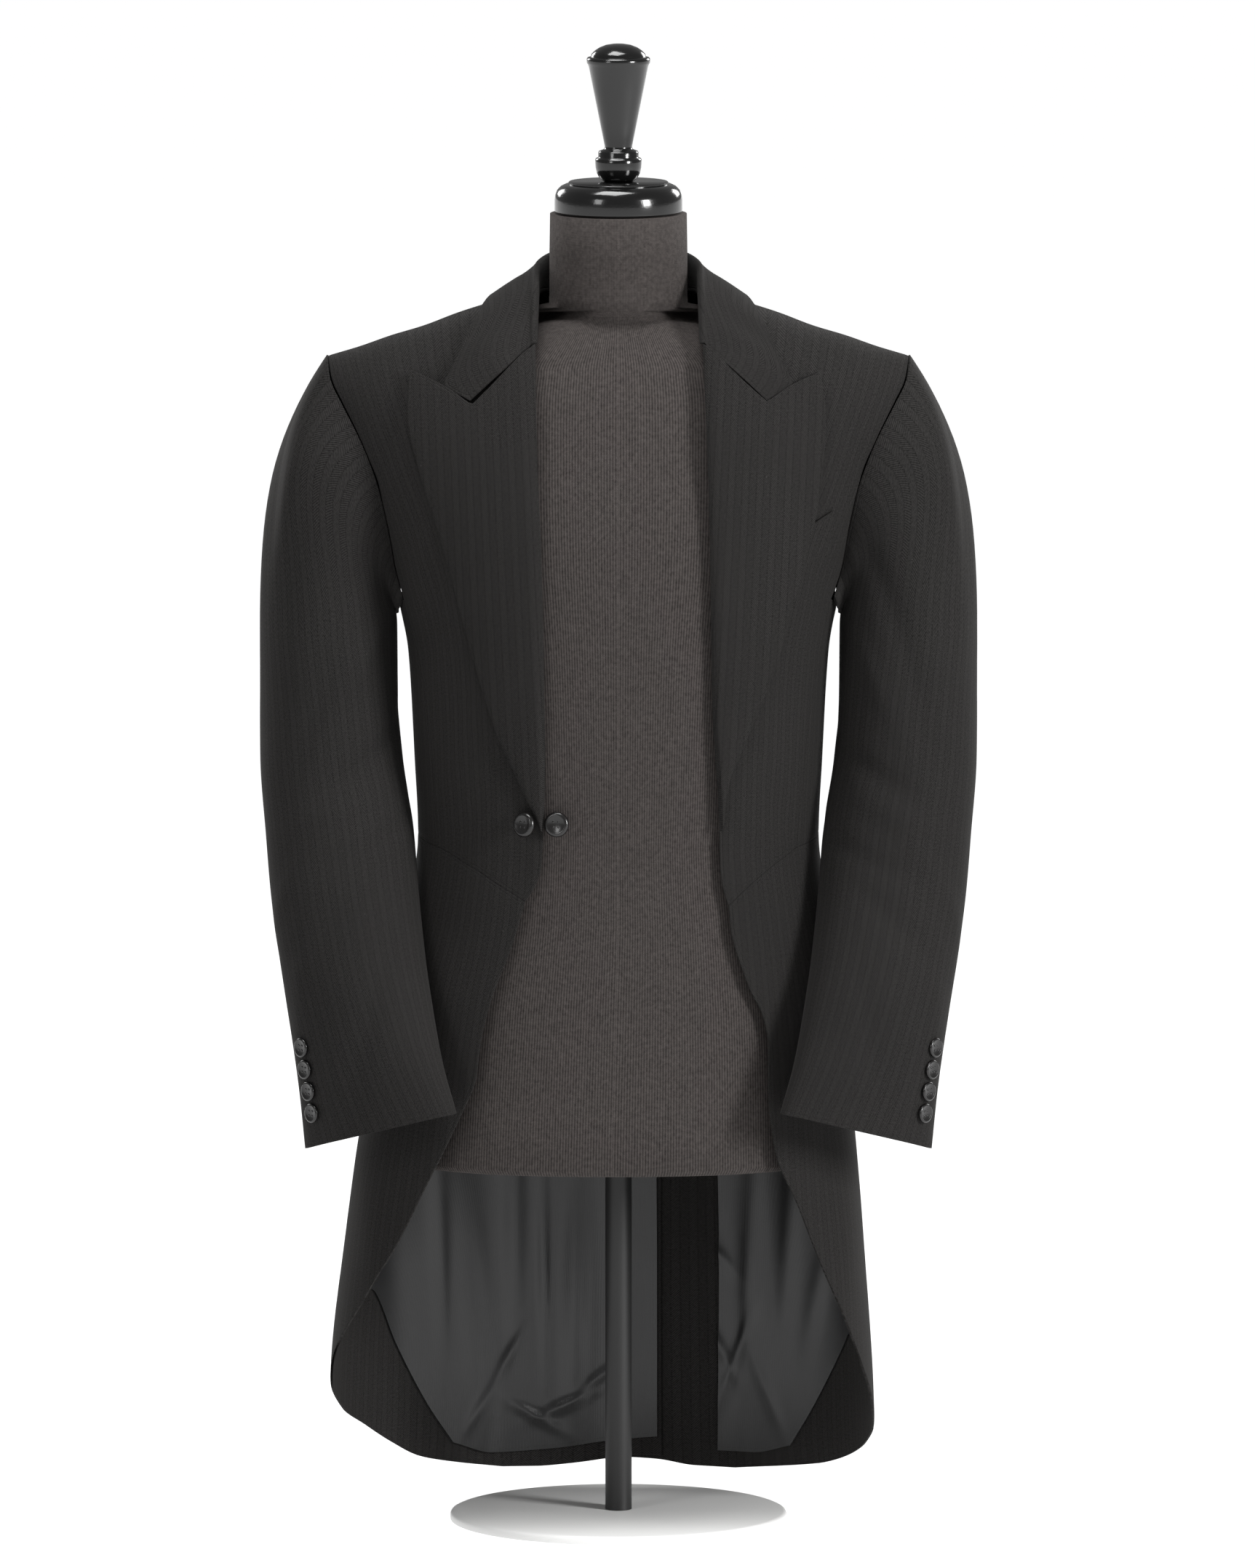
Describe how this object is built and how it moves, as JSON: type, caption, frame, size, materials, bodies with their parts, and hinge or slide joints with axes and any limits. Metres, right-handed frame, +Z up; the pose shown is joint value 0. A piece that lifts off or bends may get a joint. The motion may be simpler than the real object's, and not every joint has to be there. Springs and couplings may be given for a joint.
{
  "type": "morning coat on a dress form",
  "caption": "Black herringbone morning coat with peaked lapels, cutaway fronts and long tails, worn open on a limbless dress form with a turned finial, slim pole and round base",
  "frame": {"origin": "centre of the base's underside box on the floor", "axes": "+X to the viewer's right, the coat faces -Y, +Z up"},
  "size_m": [0.593, 0.2986, 1.232],
  "materials": {
    "coat_cloth": "matte wool herringbone",
    "lining_satin": "soft satin sheen",
    "button_horn": "polished dark horn look",
    "form_jersey": "fine matte jersey knit",
    "cap_lacquer": "gloss black lacquer",
    "pole_metal": "satin black powder coat",
    "base_metal": "satin pale powder coat"
  },
  "bodies": {
    "root": {"back_left": "coat_cloth", "back_right": "coat_cloth", "base": "base_metal", "breast_welt": "coat_cloth", "collar": "coat_cloth", "cuff_button_left_1": "button_horn", "cuff_button_left_2": "button_horn", "cuff_button_left_3": "button_horn", "cuff_button_left_4": "button_horn", "cuff_button_right_1": "button_horn", "cuff_button_right_2": "button_horn", "cuff_button_right_3": "button_horn", "cuff_button_right_4": "button_horn", "dress_form": "form_jersey", "finial": "cap_lacquer", "forepart_left": "coat_cloth", "forepart_right": "coat_cloth", "lapel_left": "coat_cloth", "lapel_right": "coat_cloth", "lining_left": "lining_satin", "lining_right": "lining_satin", "link_button_inner": "button_horn", "link_button_outer": "button_horn", "neck_cap": "cap_lacquer", "pole": "pole_metal", "side_body_left": "coat_cloth", "side_body_right": "coat_cloth", "skirt_left": "coat_cloth", "skirt_right": "coat_cloth", "top_sleeve_left": "coat_cloth", "top_sleeve_right": "coat_cloth", "under_sleeve_left": "coat_cloth", "under_sleeve_right": "coat_cloth", "waist_button_left": "button_horn", "waist_button_right": "button_horn"}
  },
  "joints": []
}
